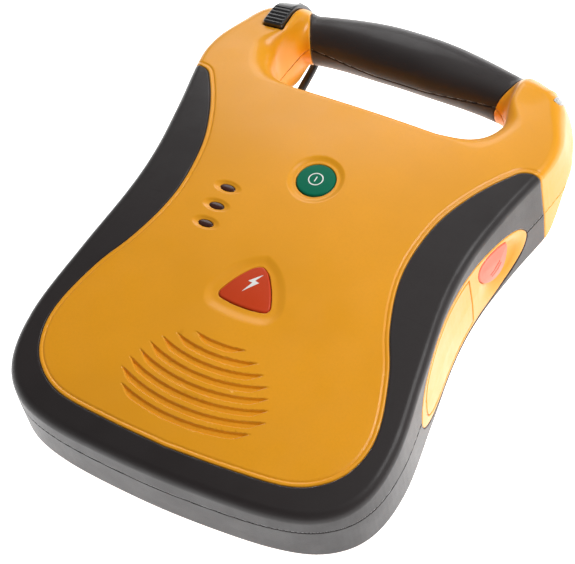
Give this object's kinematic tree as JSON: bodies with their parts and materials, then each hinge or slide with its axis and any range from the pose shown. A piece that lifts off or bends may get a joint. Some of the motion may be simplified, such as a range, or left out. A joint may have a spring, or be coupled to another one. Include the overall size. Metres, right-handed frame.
{
  "type": "automated external defibrillator",
  "caption": "Portable defibrillator with a waisted, crowned case, rubber skin, carrying handle, face buttons, side battery pack, corner pads plug and rear pads pocket.",
  "frame": {"origin": "middle of the footprint, on the plane of the rear feet", "axes": "+X to the device's right side, +Y towards the carrying handle, +Z out of the face"},
  "size_m": [0.2168, 0.3059, 0.0688],
  "materials": {
    "yellow_shell": "fine moulded texture, satin",
    "black_rubber": "soft overmoulded rubber, fine matt texture",
    "seal_rubber": "smooth silicone",
    "dark_plastic": "matt moulded",
    "plug_plastic": "semi-gloss moulded",
    "steel": "zinc plated",
    "cell_wrap": "printed shrink sleeve, plain",
    "green_button": "satin gloss",
    "red_button": "translucent, satin gloss",
    "coral_button": "satin",
    "indicator_window": "smoked, glossy",
    "led_body": "diffuse epoxy",
    "clear_lens": "clear moulded acrylic",
    "paper_cone": "treated paper",
    "magnet_iron": "coated ferrite and steel",
    "wire_red": "PVC insulation",
    "wire_white": "silicone insulation",
    "circuit_board": "solder mask",
    "chip_plastic": "moulded epoxy",
    "capacitor_sleeve": "shrink sleeve",
    "strap_nylon": "nylon",
    "transformer_core": "varnished winding on ferrite",
    "bare_aluminium": "extruded",
    "gold_contact": "gold plated",
    "lead_jacket": "extruded jacket",
    "foil_pouch": "heat-sealed foil laminate"
  },
  "bodies": {
    "case": {"front_case": "yellow_shell", "rear_case": "yellow_shell", "case_gasket": "seal_rubber", "front_bumper": "black_rubber", "rear_bumper": "black_rubber", "grip_front": "black_rubber", "grip_rear": "black_rubber", "side_bezel": "yellow_shell", "pads_cover": "dark_plastic", "rear_feet": "black_rubber", "case_screws": "steel", "cover_screws": "steel", "button_switches": "plug_plastic", "led_light_pipes": "indicator_window", "board_leds": "led_body", "status_lens": "clear_lens", "status_led": "led_body", "speaker_gasket": "seal_rubber", "speaker_frame": "dark_plastic", "speaker_cone": "paper_cone", "speaker_magnet": "magnet_iron", "speaker_leads": "wire_red", "main_board": "circuit_board", "board_chips": "chip_plastic", "main_board_screws": "steel", "power_board": "circuit_board", "power_board_screws": "steel", "hv_capacitor": "capacitor_sleeve", "capacitor_strap": "strap_nylon", "hv_transformer": "transformer_core", "output_module": "chip_plastic", "heat_sink": "bare_aluminium", "battery_bay": "dark_plastic", "battery_connector": "plug_plastic", "battery_leads": "wire_red", "card_slot": "steel", "data_card": "chip_plastic", "eject_spring": "steel", "ejector_springs": "steel", "pads_socket": "plug_plastic", "socket_contacts": "gold_contact", "socket_leads": "wire_white"},
    "power_button": {"power_button": "green_button"},
    "shock_button": {"shock_button": "red_button"},
    "eject_button": {"eject_button": "coral_button"},
    "eject_latch": {"eject_latch": "steel"},
    "battery_pack": {"pack_case": "dark_plastic", "pack_face": "yellow_shell", "pack_cells": "cell_wrap", "nine_volt_cell": "cell_wrap", "pack_contacts": "gold_contact"},
    "pads_plug": {"pads_plug": "plug_plastic", "plug_contacts": "gold_contact", "pads_lead": "lead_jacket"},
    "pads_pouch": {"pads_pouch": "foil_pouch"}
  },
  "joints": [
    {"name": "power_press", "type": "slide", "parent": "case", "child": "power_button", "axis": [0, 0, -1], "range_m": [0, 0.001]},
    {"name": "shock_press", "type": "slide", "parent": "case", "child": "shock_button", "axis": [0, 0, -1], "range_m": [0, 0.001]},
    {"name": "eject_press", "type": "slide", "parent": "case", "child": "eject_button", "axis": [-1, 0, 0], "range_m": [0, 0.003]},
    {"name": "latch_slide", "type": "slide", "parent": "case", "child": "eject_latch", "axis": [0, 1, 0], "range_m": [0, 0.0025]},
    {"name": "pack_slide", "type": "slide", "parent": "case", "child": "battery_pack", "axis": [1, 0, 0], "range_m": [0, 0.13]},
    {"name": "plug_pull", "type": "slide", "parent": "case", "child": "pads_plug", "axis": [0, 1, 0], "range_m": [0, 0.03]},
    {"name": "pouch_slide", "type": "slide", "parent": "case", "child": "pads_pouch", "axis": [0, 1, 0], "range_m": [0, 0.235]}
  ],
  "couplings": [
    {"joint": "latch_slide", "follows": "eject_press", "ratio": 0.83333}
  ]
}
